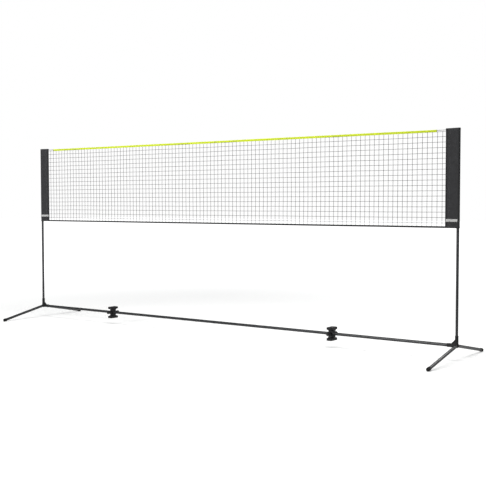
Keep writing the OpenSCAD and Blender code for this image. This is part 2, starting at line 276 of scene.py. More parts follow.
def plated_steel():
    """Bright zinc plate: a metal whose polish changes from grain to grain."""
    made, tree, shader, place = new_material("zinc_plated_steel")
    grain = add(tree, "ShaderNodeTexNoise", {"Scale": GRAINS_PER_METRE, "Detail": 2.0},
                {"Vector": place.outputs["Object"]})
    polish = add(tree, "ShaderNodeMapRange", {"To Min": 0.22, "To Max": 0.42},
                 {"Value": grain.outputs["Fac"]})
    tree.links.new(polish.outputs["Result"], shader.inputs["Roughness"])
    shader.inputs["Base Color"].default_value = linear("#b4b7ba")
    shader.inputs["Metallic"].default_value = 1.0
    return made


zinc = plated_steel()

# %% Finishes of the frame's own parts
FINISHES = {
    "leg": powder_coat, "bar": powder_coat, "post": powder_coat, "ferrule": powder_coat,
    "hub": nylon, "coupler": nylon, "collar": nylon, "plug": nylon,
    "foot": rubber, "cap": rubber, "button": zinc, "spring": zinc,
}
for name, part in nodes.items():
    finish = FINISHES.get(name.split("_")[-1])
    if finish:
        part.data.materials.clear()
        part.data.materials.append(finish)
print("finishes:", sorted({finish.name for finish in FINISHES.values()}))

# %% [markdown]
# ## Soft edges of the mouldings
# A mould can't make a knife-sharp edge, so hubs, couplers and foot caps have small fillets all
# over. Each is a copy of its frame part, joined up, covered with an even skin of voxels and
# smoothed: flat faces stay flat and every edge rounds off. The foot caps get two grip grooves.

# %% Mouldings
# size of the voxels in millimetres, rounds of smoothing and share of the faces that is kept
HUB_SKIN = (1.0, 6, 0.35)
COUPLER_SKIN = (1.2, 10, 0.25)
FOOT_SKIN = (0.7, 4, 0.6)


def joined_copy(name):
    """A copy of a frame part with its coincident corners merged into one closed surface."""
    bm = bmesh.new()
    bm.from_mesh(nodes[name].data)
    bmesh.ops.remove_doubles(bm, verts=bm.verts, dist=0.01 * MM)
    mesh = bpy.data.meshes.new(name + "_moulding")
    bm.to_mesh(mesh)
    bm.free()
    return mesh


def moulding(name, skin_mm, rounds, keep, slot_name, finish, shape=None):
    """Replaces a frame part by a copy with rounded edges; shape may still move its points."""
    seed = bpy.data.objects.new(name + "_seed", joined_copy(name))
    bpy.context.scene.collection.objects.link(seed)
    skin = seed.modifiers.new("skin", "REMESH")
    skin.mode = "VOXEL"
    skin.voxel_size = skin_mm * MM
    ease = seed.modifiers.new("ease", "SMOOTH")
    ease.factor = 0.5
    ease.iterations = rounds
    fewer = seed.modifiers.new("fewer", "DECIMATE")
    fewer.ratio = keep
    bpy.context.view_layer.update()
    seen = seed.evaluated_get(bpy.context.evaluated_depsgraph_get())
    mesh = bpy.data.meshes.new_from_object(seen)
    bpy.data.objects.remove(seed)
    if shape:
        shape(mesh)
    mesh.polygons.foreach_set("use_smooth", [True] * len(mesh.polygons))
    mesh.materials.clear()
    mesh.materials.append(finish)
    piece = bpy.data.objects.new(name + "_moulding", mesh)
    bpy.context.scene.collection.objects.link(piece)
    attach(piece, "base")
    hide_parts(name)
    print(piece.name, "has", len(mesh.polygons), "faces")


# %% Grip grooves
GROOVE_W = 1.1 * MM
GROOVE_DEPTH = 0.9 * MM
# where the grooves lie along a cap, and how far out a point has to be to belong to its rim
GROOVE_PLACES = (0.28, 0.5)
RIM = 0.93


def points_of(mesh):
    """A mesh's points as rows of an array."""
    flat = np.empty(3 * len(mesh.vertices))
    mesh.vertices.foreach_get("co", flat)
    return flat.reshape(-1, 3)


def grip_grooves(leg):
    """Returns a function that cuts two shallow rings round a foot cap, square to its leg."""
    tube = points_of(leg.data)
    middle = tube.mean(axis=0)
    axis = np.linalg.svd(tube - middle, full_matrices=False)[2][0]

    def cut(mesh):
        spots = points_of(mesh)
        along = (spots - middle) @ axis
        along *= np.sign(along.mean())
        outward = spots - middle - np.outer((spots - middle) @ axis, axis)
        radius = np.linalg.norm(outward, axis=1)
        outer = radius > RIM * np.percentile(radius, 90)
        length = along.max() - along.min()
        depth = np.zeros(len(spots))
        for share in GROOVE_PLACES:
            offset = (along - along.min() - share * length) / GROOVE_W
            depth = np.maximum(depth, GROOVE_DEPTH * np.exp(-offset ** 2))
        depth[~outer] = 0
        spots -= outward / radius[:, None] * depth[:, None]
        mesh.vertices.foreach_set("co", spots.ravel())

    return cut


SIDE_NAMES = ("left", "right")
for side_name in SIDE_NAMES:
    moulding(f"{side_name}_hub", *HUB_SKIN, "hub_nylon", nylon)
    moulding(f"{side_name}_coupler", *COUPLER_SKIN, "coupler_nylon", nylon)
    for end_name in ("front", "rear"):
        moulding(f"{side_name}_{end_name}_foot", *FOOT_SKIN, "foot_rubber", rubber,
                 grip_grooves(nodes[f"{side_name}_{end_name}_leg"]))

# %% [markdown]
# ## Leaf springs
# Behind each snap button a V of spring steel lies on the tube's far wall, and pressing the button
# closes the V. Here each spring is a zinc-plated copy of its frame part that rides with the
# sliding net; it keeps its shape and does not follow the button's travel.

# %% Leaf springs
def closing_spring(side_name):
    """A zinc-plated copy of a leaf spring that rides with the net; it does not flatten when its
    button is pressed.
    """
    node, press = f"{side_name}_leaf_spring", f"{side_name}_button_press"
    piece = bpy.data.objects.new(f"{side_name}_closing_spring", joined_copy(node))
    bpy.context.scene.collection.objects.link(piece)
    piece.data.materials.append(zinc)
    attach(piece, "net_carriage")
    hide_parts(node)
    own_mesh(piece)


for side_name in SIDE_NAMES:
    closing_spring(side_name)

# %% [markdown]
# ## Woven cloth
# Every soft piece is woven polyester: yarns cross over and under each other. Two sets of waves at
# right angles, multiplied, give that check of little bumps. The piece's own UV map is in metres
# along the cloth, so the weave follows the surface. Real yarns are about half a millimetre apart;
# they are drawn at one to two millimetres, so that they still show from a few steps away.

# %% Woven cloth
# thick places in the yarn are about 20 mm apart
SLUBS_PER_METRE = 45.0


def woven(name, colour, light, yarn_mm, roughness, sheen, lift):
    """Plain weave on the piece's own UV map, which is in metres."""
    made, tree, shader, place = new_material(name)
    across = add(tree, "ShaderNodeTexWave",
                 {"wave_type": "BANDS", "bands_direction": "X",
                  "Scale": math.pi / (10 * yarn_mm * MM), "Distortion": 0.4, "Detail": 1.0},
                 {"Vector": place.outputs["UV"]})
    along = add(tree, "ShaderNodeTexWave",
                {"wave_type": "BANDS", "bands_direction": "Y",
                 "Scale": math.pi / (10 * yarn_mm * MM), "Distortion": 0.4, "Detail": 1.0},
                {"Vector": place.outputs["UV"]})
    check = add(tree, "ShaderNodeMath", {"operation": "MULTIPLY"},
                {0: across.outputs["Fac"], 1: along.outputs["Fac"]})
    slub = add(tree, "ShaderNodeTexNoise",
               {"Scale": SLUBS_PER_METRE, "Detail": 5.0, "Roughness": 0.65},
               {"Vector": place.outputs["Object"]})
    mixed = add(tree, "ShaderNodeMath", {"operation": "MULTIPLY_ADD", 1: 0.55},
                {0: check.outputs[0], 2: slub.outputs["Fac"]})
    tint = add(tree, "ShaderNodeValToRGB", None, {"Fac": mixed.outputs[0]})
    tint.color_ramp.elements[0].position = 0.35
    tint.color_ramp.elements[0].color = linear(colour)
    tint.color_ramp.elements[1].position = 1.0
    tint.color_ramp.elements[1].color = linear(light)
    bump = add(tree, "ShaderNodeBump", {"Strength": 0.6, "Distance": lift * MM},
               {"Height": check.outputs[0]})
    tree.links.new(tint.outputs["Color"], shader.inputs["Base Color"])
    tree.links.new(bump.outputs["Normal"], shader.inputs["Normal"])
    shader.inputs["Roughness"].default_value = roughness
    shader.inputs["Specular IOR Level"].default_value = 0.25
    shader.inputs["Sheen Weight"].default_value = sheen
    shader.inputs["Sheen Roughness"].default_value = 0.4
    return made


sleeve_cloth = woven("sleeve_oxford_polyester", "#262627", "#343436", 1.4, 0.86, 0.06, 0.25)
binding_cloth = woven("binding_grosgrain", "#161617", "#212123", 1.2, 0.82, 0.04, 0.25)
neon_cloth = woven("neon_polyester_tape", "#bdcf1a", "#d2e034", 1.2, 0.7, 0.05, 0.2)
label_cloth = woven("bare_woven_strip", "#a3a3a2", "#bdbdbb", 0.9, 0.75, 0.03, 0.12)

# %% Thread and cord
def yarn(name, colour, light, twist_mm, roughness):
    """Twisted yarn: slanting ridges in the bump and a fuzz of lighter fibres."""
    made, tree, shader, place = new_material(name)
    turn = add(tree, "ShaderNodeMapping", {"Rotation": (0.7, 0.5, 0.6)},
               {"Vector": place.outputs["Object"]})
    ridge = add(tree, "ShaderNodeTexWave",
                {"wave_type": "BANDS", "Scale": math.pi / (10 * twist_mm * MM),
                 "Distortion": 1.5, "Detail": 2.0},
                {"Vector": turn.outputs["Vector"]})
    tint = add(tree, "ShaderNodeValToRGB", None, {"Fac": ridge.outputs["Fac"]})
    tint.color_ramp.elements[0].color = linear(colour)
    tint.color_ramp.elements[1].color = linear(light)
    bump = add(tree, "ShaderNodeBump", {"Strength": 0.5, "Distance": 0.15 * MM},
               {"Height": ridge.outputs["Fac"]})
    tree.links.new(tint.outputs["Color"], shader.inputs["Base Color"])
    tree.links.new(bump.outputs["Normal"], shader.inputs["Normal"])
    shader.inputs["Roughness"].default_value = roughness
    return made


net_yarn = yarn("twisted_polyester_thread", "#1a1a1c", "#262628", 1.2, 0.8)
cord_yarn = yarn("braided_polyester_cord", "#2a2b24", "#44453a", 1.6, 0.75)
stitch_black = yarn("black_sewing_thread", "#1b1b1c", "#303031", 0.8, 0.6)
stitch_grey = yarn("grey_sewing_thread", "#4a4a4c", "#68686a", 0.8, 0.6)
stitch_neon = yarn("neon_sewing_thread", "#b9ca18", "#d8e640", 0.8, 0.6)

# %% [markdown]
# ## Netting
# The net is machine-knotted from thread under three millimetres thick, in squares of 36.5 mm: 106
# upright threads and 17 level ones. A Geometry Nodes grid is the natural way: its edges become
# tubes and its crossings get a small knot. One extra row or column on every side is pulled in to
# the tape or sleeve that holds the net, so each thread ends inside what it is sewn to. A slow
# noise moves the knots a millimetre or two, as no real net hangs on a perfect grid.

# %% Node-tree helpers for geometry
def geometry_tree(name, inputs):
    """A Geometry Nodes tree with one geometry output and named inputs with their defaults."""
    tree = bpy.data.node_groups.new(name, "GeometryNodeTree")
    tree.is_modifier = True
    tree.interface.new_socket("Geometry", in_out="INPUT", socket_type="NodeSocketGeometry")
    for label, (kind, value) in inputs.items():
        socket = tree.interface.new_socket(label, in_out="INPUT", socket_type=kind)
        socket.default_value = value
    tree.interface.new_socket("Geometry", in_out="OUTPUT", socket_type="NodeSocketGeometry")
    return tree, add(tree, "NodeGroupInput").outputs


def grow(name, tree, values, material, start=None):
    """Runs a tree on a mesh with these input values and returns the result as a plain piece."""
    seed = bpy.data.objects.new(name + "_seed", start or bpy.data.meshes.new(name + "_seed"))
    bpy.context.scene.collection.objects.link(seed)
    run = seed.modifiers.new("grow", "NODES")
    run.node_group = tree
    sockets = {s.name: s.identifier for s in tree.interface.items_tree if s.in_out == "INPUT"}
    for label, value in {**values, "Thread Material": material}.items():
        run[sockets[label]] = value
    bpy.context.view_layer.update()
    seen = seed.evaluated_get(bpy.context.evaluated_depsgraph_get())
    mesh = bpy.data.meshes.new_from_object(seen)
    bpy.data.objects.remove(seed)
    # joined geometry brings an empty material slot along, so the slots are made afresh
    mesh.materials.clear()
    mesh.materials.append(material)
    piece = bpy.data.objects.new(name, mesh)
    bpy.context.scene.collection.objects.link(piece)
    print(name, "has", len(mesh.polygons), "faces of", material.name)
    return piece


# %% Net tree
def net_tree():
    """Threads along the edges of a grid and a small knot at each crossing."""
    tree, given = geometry_tree("knotted_net", {
        "Pitch X": ("NodeSocketFloat", 0.037),
        "Pitch Z": ("NodeSocketFloat", 0.036),
        "Threads Up": ("NodeSocketInt", 106),
        "Threads Across": ("NodeSocketInt", 17),
        "Thread Radius": ("NodeSocketFloat", 0.00135),
        "Knot Radius": ("NodeSocketFloat", 0.0025),
        "Wander": ("NodeSocketFloat", 0.0015),
        "Low": ("NodeSocketVector", (0, 0, 0)),
        "High": ("NodeSocketVector", (0, 0, 0)),
        "First": ("NodeSocketVector", (0, 0, 0)),
        "Thread Material": ("NodeSocketMaterial", None),
    })

    def math_node(operation, a, b):
        made = add(tree, "ShaderNodeMath", {"operation": operation})
        for i, value in enumerate((a, b)):
            if isinstance(value, (int, float)):
                made.inputs[i].default_value = value
            else:
                tree.links.new(value, made.inputs[i])
        return made.outputs[0]

    count_x = math_node("ADD", given["Threads Up"], 2)
    count_z = math_node("ADD", given["Threads Across"], 2)
    width = math_node("MULTIPLY", math_node("SUBTRACT", count_x, 1), given["Pitch X"])
    height = math_node("MULTIPLY", math_node("SUBTRACT", count_z, 1), given["Pitch Z"])
    grid = add(tree, "GeometryNodeMeshGrid", None,
               {"Size X": width, "Size Y": height, "Vertices X": count_x, "Vertices Y": count_z})
    stand = add(tree, "GeometryNodeTransform", {"Rotation": (math.pi / 2, 0, 0)},
                {"Geometry": grid.outputs["Mesh"]})
    # the grid is centred: move its first inner crossing to the given point
    shift = add(tree, "ShaderNodeCombineXYZ", None,
                {"X": math_node("SUBTRACT", math_node("MULTIPLY", width, 0.5), given["Pitch X"]),
                 "Z": math_node("SUBTRACT", math_node("MULTIPLY", height, 0.5), given["Pitch Z"])})
    spot = add(tree, "ShaderNodeVectorMath", {"operation": "ADD"},
               {0: given["First"], 1: shift.outputs[0]})
    moved = add(tree, "GeometryNodeTransform", None,
                {"Geometry": stand.outputs[0], "Translation": spot.outputs[0]})
    here = add(tree, "GeometryNodeInputPosition")
    drift = add(tree, "ShaderNodeTexNoise", {"Scale": 2.3, "Detail": 3.0},
                {"Vector": here.outputs[0]})
    centred = add(tree, "ShaderNodeVectorMath", {"operation": "SUBTRACT", 1: (0.5, 0.5, 0.5)},
                  {0: drift.outputs["Color"]})
    step = add(tree, "ShaderNodeVectorMath", {"operation": "SCALE"},
               {0: centred.outputs[0], "Scale": math_node("MULTIPLY", given["Wander"], 4)})
    loose = add(tree, "ShaderNodeVectorMath", {"operation": "ADD"},
                {0: here.outputs[0], 1: step.outputs[0]})
    kept = add(tree, "ShaderNodeVectorMath", {"operation": "MAXIMUM"},
               {0: loose.outputs[0], 1: given["Low"]})
    kept = add(tree, "ShaderNodeVectorMath", {"operation": "MINIMUM"},
               {0: kept.outputs[0], 1: given["High"]})
    placed = add(tree, "GeometryNodeSetPosition", None,
                 {"Geometry": moved.outputs[0], "Position": kept.outputs[0]})
    lines = add(tree, "GeometryNodeMeshToCurve", None, {"Mesh": placed.outputs[0]})
    section = add(tree, "GeometryNodeCurvePrimitiveCircle", {"Resolution": 6},
                  {"Radius": given["Thread Radius"]})
    threads = add(tree, "GeometryNodeCurveToMesh", None,
                  {"Curve": lines.outputs[0], "Profile Curve": section.outputs[0]})
    knot = add(tree, "GeometryNodeMeshUVSphere", {"Segments": 6, "Rings": 4},
               {"Radius": given["Knot Radius"]})
    knots = add(tree, "GeometryNodeInstanceOnPoints", {"Scale": (1, 0.8, 1)},
                {"Points": placed.outputs[0], "Instance": knot.outputs["Mesh"]})
    joined = add(tree, "GeometryNodeJoinGeometry")
    tree.links.new(threads.outputs[0], joined.inputs[0])
    tree.links.new(knots.outputs[0], joined.inputs[0])
    real = add(tree, "GeometryNodeRealizeInstances", None, {"Geometry": joined.outputs[0]})
    smooth = add(tree, "GeometryNodeSetShadeSmooth", None, {"Geometry": real.outputs[0]})
    finished = add(tree, "GeometryNodeSetMaterial", None,
                   {"Geometry": smooth.outputs[0], "Material": given["Thread Material"]})
    add(tree, "NodeGroupOutput", None, {"Geometry": finished.outputs[0]})
    return tree


# %% Net
THREADS_UP = 106
THREADS_ACROSS = 17
# from the netting's edges to the outermost threads
FIRST_FROM_LEFT = 30.6 * MM
LAST_FROM_RIGHT = 24.0 * MM
LOWEST_ABOVE_TAPE = 21.8 * MM
HIGHEST_BELOW_TAPE = 30.9 * MM
# how far the threads run into what they are sewn to
SEWN_IN = 2.5 * MM

net_low, net_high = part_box("netting")
pitch_x = (net_high.x - net_low.x - FIRST_FROM_LEFT - LAST_FROM_RIGHT) / (THREADS_UP - 1)
pitch_z = (net_high.z - net_low.z - LOWEST_ABOVE_TAPE - HIGHEST_BELOW_TAPE) / (THREADS_ACROSS - 1)
netting = grow("net_mesh", net_tree(), {
    "Pitch X": pitch_x,
    "Pitch Z": pitch_z,
    "Threads Up": THREADS_UP,
    "Threads Across": THREADS_ACROSS,
    "First": (net_low.x + FIRST_FROM_LEFT, 0, net_low.z + LOWEST_ABOVE_TAPE),
    "Low": (net_low.x - SEWN_IN, -1, net_low.z - SEWN_IN),
    "High": (net_high.x + SEWN_IN, 1, net_high.z + SEWN_IN),
}, net_yarn)
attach(netting, "net_carriage")
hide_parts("netting")
print("squares of", round(pitch_x / MM, 1), "by", round(pitch_z / MM, 1), "mm")

# %% [markdown]
# ## Sleeves
# Each end of the net is sewn into a pole sleeve: one sheet of oxford cloth, folded round the post
# and stitched to itself along the net. Seen from above it is a drop: round at the post, drawn in
# to a flat seam. One function gives the cloth's face at any distance along that outline and any
# height, with its slow folds, its turned-up hems and the dips where it is stitched. The cloth, the
# strip on it, the binding and the stitches all ask that one function, so they can't drift apart.

# %% Drop-shaped outline
def running_length(points):
    """The distance along a line from its first point to each of its points."""
    along = [0.0]
    for a, b in zip(points, points[1:]):
        along.append(along[-1] + (b - a).length)
    return along


def drop_outline(radius, reach, half, arc_steps, flat_steps):
    """Points from the seam's rear edge, round the post, to its front edge, post at the origin.

    The post is outward at +X and the seam is inward at -X; each point comes with its distance
    along the cloth."""
    turn = math.atan2(half, -reach) - math.acos(radius / math.hypot(reach, half))
    touch = Vector((radius * math.cos(turn), radius * math.sin(turn)))
    seam = Vector((-reach, half))
    points = [seam.lerp(touch, i / flat_steps) for i in range(flat_steps)]
    for i in range(arc_steps + 1):
        angle = turn - 2 * turn * i / arc_steps
        points.append(Vector((radius * math.cos(angle), radius * math.sin(angle))))
    points += [Vector((touch.x, -touch.y)).lerp(Vector((seam.x, -seam.y)), i / flat_steps)
               for i in range(1, flat_steps + 1)]
    return points, running_length(points)


# %% Cloth face
CLOTH = 1.0 * MM
SLEEVE_R = 12.4 * MM
SEAM_HALF = 2.6 * MM
ARC_STEPS = 20
FLAT_STEPS = 40
SEAM_ROWS = (25 * MM, 31 * MM)
BOTTOM_HEM = 14 * MM
TOP_HEM = 16 * MM
HEM_STEP = 1.5 * MM
HEM_RISE = 0.35 * MM
SLOW_FOLD = 0.9 * MM
FINE_FOLD = 0.35 * MM
# folds to the metre round the post and up it, and where in the noise they are read
SLOW_FOLDS = (26, 3.2, 7.1)
FINE_FOLDS = (60, 9.0, 3.3)
# how far beyond the hems the folds would end, and how far from the post and the edge they start
CALM = 20 * MM
FLAT_FROM_POST = 20 * MM
FLAT_FROM_EDGE = 10 * MM
STITCH_DIP = 0.55 * MM
DIP_WIDTH = 1.8 * MM


def smooth_step(x):
    """0 below 0, 1 above 1 and an even slope between them."""
    x = min(max(x, 0.0), 1.0)
    return x * x * (3 - 2 * x)


def sleeve_plan(side_name, side):
    """What every piece of one sleeve is measured from."""
    low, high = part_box(f"{side_name}_sleeve")
    post_x = 0.5 * sum(p.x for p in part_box(f"{side_name}_lower_post"))
    reach = abs((low.x if side > 0 else high.x) - post_x)
    points, along = drop_outline(SLEEVE_R, reach, SEAM_HALF, ARC_STEPS, FLAT_STEPS)
    return {"name": side_name, "side": side, "post_x": post_x, "reach": reach, "low": low.z,
            "high": high.z, "points": points, "along": along, "length": along[-1]}


def fold_depth(plan, s, z, edge):
    """How far the cloth stands out of its plane at height z and distance s along the outline."""
    height = plan["high"] - plan["low"]
    up = z - plan["low"]
    calm = max(math.sin(math.pi * min(max((up + CALM) / (height + 2 * CALM), 0), 1)), 0) ** 0.5
    slow, fine = [noise.noise(Vector((s * folds[0], z * folds[1], folds[2] * plan["side"])))
                  for folds in (SLOW_FOLDS, FINE_FOLDS)]
    depth = calm * (SLOW_FOLD * slow + FINE_FOLD * fine)
    for row in SEAM_ROWS:
        depth -= STITCH_DIP * math.exp(-((edge - row) / DIP_WIDTH) ** 2)
    return depth


def cloth_point(plan, s, z, lift=0.0):
    """The cloth's outer face at distance s along its outline and height z, raised by lift."""
    s = min(max(s, 0.0), plan["length"])
    i = min(int(np.searchsorted(plan["along"], s, side="right")) - 1, len(plan["points"]) - 2)
    a, b = plan["points"][i], plan["points"][i + 1]
    p = a.lerp(b, (s - plan["along"][i]) / (plan["along"][i + 1] - plan["along"][i]))
    out = Vector((-(b - a).y, (b - a).x)).normalized()
    edge = min(s, plan["length"] - s)
    flat = smooth_step(-p.x / FLAT_FROM_POST) * smooth_step(edge / FLAT_FROM_EDGE)
    hem = max(smooth_step((plan["low"] + BOTTOM_HEM - z) / HEM_STEP),
              smooth_step((z - plan["high"] + TOP_HEM) / HEM_STEP))
    q = p + out * (fold_depth(plan, s, z, edge) * flat + HEM_RISE * hem + lift)
    return Vector((plan["post_x"] + plan["side"] * q.x, q.y, z))


# %% Lofted cloth
def loft(name, rows, u, v, material, closed=False):
    """A quad mesh from rows of points, with a UV map in metres: u along a row, v across rows."""
    mesh = bpy.data.meshes.new(name)
    across = len(rows[0])
    count = across if closed else across - 1
    faces = [
        (r * across + c, r * across + (c + 1) % across,
         (r + 1) * across + (c + 1) % across, (r + 1) * across + c)
        for r in range(len(rows) - 1) for c in range(count)
    ]
    mesh.from_pydata([p for row in rows for p in row], [], faces)
    uv = mesh.uv_layers.new(name="cloth")
    for face in mesh.polygons:
        for corner in face.loop_indices:
            r, c = divmod(mesh.loops[corner].vertex_index, across)
            wraps = closed and c == 0 and (face.index % count) == count - 1
            uv.data[corner].uv = (u[across] if wraps else u[c], v[r])
    mesh.polygons.foreach_set("use_smooth", [True] * len(mesh.polygons))
    mesh.materials.append(material)
    piece = bpy.data.objects.new(name, mesh)
    bpy.context.scene.collection.objects.link(piece)
    return piece


def turn_outward(piece, outward):
    """Flips every face if the faces look the wrong way, judged at the first one."""
    first = piece.data.polygons[0]
    if first.normal.dot(Vector(outward)) < 0:
        piece.data.flip_normals()


def thicken(piece, thickness):
    """Gives a sheet its thickness inwards from the face it was drawn on."""
    wall = piece.modifiers.new("cloth", "SOLIDIFY")
    wall.thickness = thickness
    wall.offset = -1
    wall.use_even_offset = True


def part_of_net(piece, slot, *replaced):
    """Net goods all ride on the sliding net; they may stand for CAD nodes."""
    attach(piece, "net_carriage")
    if replaced:
        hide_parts(*replaced)


# %% Sleeve cloth
SLEEVE_ROWS = 110
LID_STEPS = 6
LID_DOME = 1.6 * MM
LID_LIFT = 0.3 * MM


def sleeve_levels(plan):
    """Heights of the rows, with extra ones where a hem ends."""
    height = plan["high"] - plan["low"]
    levels = [plan["low"] + height * i / SLEEVE_ROWS for i in range(SLEEVE_ROWS + 1)]
    for hem in (plan["low"] + BOTTOM_HEM, plan["high"] - TOP_HEM):
        levels += [hem - HEM_STEP, hem - 0.5 * HEM_STEP, hem, hem + HEM_STEP]
    return sorted(levels)


def make_sleeve(plan):
    """One sheet round the post with a domed lid, turned outward and given its thickness."""
    levels = sleeve_levels(plan)
    top = plan["high"] - CLOTH
    levels = [z for z in levels if z < top - 1 * MM] + [top - LID_LIFT]
    rows = [[cloth_point(plan, s, z) for s in plan["along"]] for z in levels]
    piece = loft(f"{plan['name']}_sleeve_cloth", rows, plan["along"],
                 [z - plan["low"] for z in levels], sleeve_cloth)
    bm = bmesh.new()
    bm.from_mesh(piece.data)
    uv = bm.loops.layers.uv.active
    bm.verts.ensure_lookup_table()
    across = len(plan["along"])
    rim = bm.verts[(len(levels) - 1) * across:len(levels) * across]
    middle = (across - 1) // 2
    lid = []
    for i in range(middle + 1):
        rear, near = rim[i], rim[across - 1 - i]
        line = [rear]
        for j in range(1, LID_STEPS):
            t = j / LID_STEPS
            spot = rear.co.lerp(near.co, t)
            width = (near.co - rear.co).length / (2 * SLEEVE_R)
            spot.z += LID_DOME * width * math.sin(math.pi * t) + LID_LIFT
            line.append(bm.verts.new(spot) if i < middle else rear)
        line.append(near)
        lid.append(line)
    for i in range(middle):
        for j in range(LID_STEPS):
            ring = [lid[i][j], lid[i][j + 1], lid[i + 1][j + 1], lid[i + 1][j]]
            corners = list(dict.fromkeys(ring))
            if len(corners) > 2:
                face = bm.faces.new(corners)
                face.smooth = True
                for corner in face.loops:
                    corner[uv].uv = (corner.vert.co.x, corner.vert.co.y)
    bmesh.ops.recalc_face_normals(bm, faces=bm.faces)
    bm.to_mesh(piece.data)
    bm.free()
    turn_outward(piece, (0, 1, 0))
    thicken(piece, CLOTH)
    return piece


plans = [sleeve_plan("left", -1), sleeve_plan("right", 1)]
sleeves = {}
for plan in plans:
    piece = make_sleeve(plan)
    sleeves[plan["name"]] = piece
    part_of_net(piece, "sleeve_fabric", f"{plan['name']}_sleeve")
    print(piece.name, "is cut from", round(plan["length"], 3), "by",
          round(plan["high"] - plan["low"], 3), "m")

# %% [markdown]
# ## Binding and bare strip
# The sleeve's inner edge is covered by grosgrain ribbon folded over it, which is a shade darker
# than the cloth. Near the foot of each sleeve a pale woven strip is sewn on flat. It stays bare.

# %% Binding
BINDING_W = 11 * MM
BINDING_LIFT = 0.35 * MM
BINDING_STEPS = 6
BINDING_ROWS = 70
BEND_STEPS = 6
RIBBON = 0.7 * MM


def make_binding(plan):
    """Ribbon folded over the sleeve's inner edge, with a round bend at the fold."""
    spread = [BINDING_W * (1 - i / BINDING_STEPS) for i in range(BINDING_STEPS + 1)]
    height = plan["high"] - plan["low"]
    levels = [plan["low"] + height * i / BINDING_ROWS for i in range(BINDING_ROWS + 1)]
    levels[-1] -= CLOTH
    rows = []
    for z in levels:
        rear = [cloth_point(plan, s, z, BINDING_LIFT) for s in spread]
        near = [cloth_point(plan, plan["length"] - s, z, BINDING_LIFT) for s in reversed(spread)]
        fold_x = plan["post_x"] - plan["side"] * (plan["reach"] - 0.2 * MM)
        bend = []
        for i in range(1, BEND_STEPS):
            bulge = 0.5 * MM * math.sin(math.pi * i / BEND_STEPS)
            bend.append(Vector((fold_x - plan["side"] * bulge,
                                rear[-1].y + (near[0].y - rear[-1].y) * i / BEND_STEPS, z)))
        rows.append(rear + bend + near)
    piece = loft(f"{plan['name']}_sleeve_binding", rows, running_length(rows[0]), levels,
                 binding_cloth)
    turn_outward(piece, (0, 1, 0))
    thicken(piece, RIBBON)
    part_of_net(piece, "tape_black")
    print(piece.name, "is", BINDING_ROWS, "rows high")


for plan in plans:
    make_binding(plan)

# %% Bare strip
STRIP_LIFT = 0.45 * MM
STRIP_PAST_TOUCH = 3 * MM
STRIP_COLUMNS = 40
STRIP_ROWS = 8
STRIP_CLOTH = 0.5 * MM


def strip_edges(plan):
    """Where the strip starts and ends along the cloth, and its lowest and highest point."""
    low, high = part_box(f"{plan['name']}_label")
    inner_gap = abs((low.x if plan["side"] > 0 else high.x) - plan["post_x"])
    start = plan["length"] - (plan["reach"] - inner_gap)
    end = plan["length"] - plan["along"][FLAT_STEPS] - STRIP_PAST_TOUCH
    return start, end, low.z, high.z


def make_strip(plan):
    """A bare woven strip that follows the sleeve's front face."""
    start, end, low, high = strip_edges(plan)
    across = [start + (end - start) * i / STRIP_COLUMNS for i in range(STRIP_COLUMNS + 1)]
    levels = [low + (high - low) * i / STRIP_ROWS for i in range(STRIP_ROWS + 1)]
    rows = [[cloth_point(plan, s, z, STRIP_LIFT) for s in across] for z in levels]
    piece = loft(f"{plan['name']}_bare_strip", rows, [s - end for s in across],
                 [z - low for z in levels], label_cloth)
    turn_outward(piece, (0, -1, 0))
    thicken(piece, STRIP_CLOTH)
    part_of_net(piece, "label_strip", f"{plan['name']}_label")
    print(piece.name, "is", round((high - low) / MM, 1), "mm high")


for plan in plans:
    make_strip(plan)

# %% [markdown]
# ## Tapes and cord
# The top tape is a 39 mm neon webbing folded in half over a cord, so that it has a round top and
# two flat sides with the net's edge between them. The bottom tape is narrow black ribbon folded
# over the lowest thread. The cord is made last: it is held in the tape all along and shows only
# at both ends, where it runs on into the sleeve, so that is where its strands are drawn.

# %% Folded tapes
def lengthwise(low_x, high_x, step):
    """Even stations along X, about a step apart."""
    count = max(2, round((high_x - low_x) / step))
    return [low_x + (high_x - low_x) * i / count for i in range(count + 1)]


# waves to the metre along a tape, and where in the noise they are read
SWAY = (5.5, 2.7)
FLUTTER = (17, 9.1)
LIFT = (3.1, 5.3)


def slack(x, z, lowest, highest, ripple):
    """How far a tape between two heights sways at a point, and how far it lifts there."""
    loose = (highest - z) / (highest - lowest)
    sway, flutter, lift = [noise.noise(Vector((x * waves, spot, highest)))
                           for waves, spot in (SWAY, FLUTTER, LIFT)]
    return ripple * loose * (sway + 0.4 * flutter), 0.5 * ripple * lift


def fold_over(name, section, stations, ripple, material, thickness):
    """Lofts an open section, given as (y, z) from rear edge to front edge, along X."""
    rows = []
    lowest = min(z for y, z in section)
    highest = max(z for y, z in section)
    for x in stations:
        row = []
        for y, z in section:
            sway, lift = slack(x, z, lowest, highest, ripple)
            row.append((x, y + sway, z + lift))
        rows.append(row)
    reach = [0.0]
    for (y0, z0), (y1, z1) in zip(section, section[1:]):
        reach.append(reach[-1] + math.hypot(y1 - y0, z1 - z0))
    piece = loft(name, rows, reach, stations, material)
    turn_outward(piece, (0, 1, 0))
    thicken(piece, thickness)
    print(piece.name, "is cut", round(reach[-1], 4), "m wide")
    return piece, reach[-1]


# %% Top tape
CHANNEL_GAP = 1.8 * MM
TAPE_HALF = 1.2 * MM
TAPE_RIPPLE = 0.9 * MM
TAPE_STEP = 14 * MM
TAPE_CLOTH = 0.8 * MM
SIDE_STEPS = 5
ARC = 14

tape_low, tape_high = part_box("top_tape")
cord_low, cord_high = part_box("top_cord")
cord_y = 0.5 * (cord_low.y + cord_high.y)
cord_z = 0.5 * (cord_low.z + cord_high.z)
cord_r = 0.5 * (cord_high.z - cord_low.z)

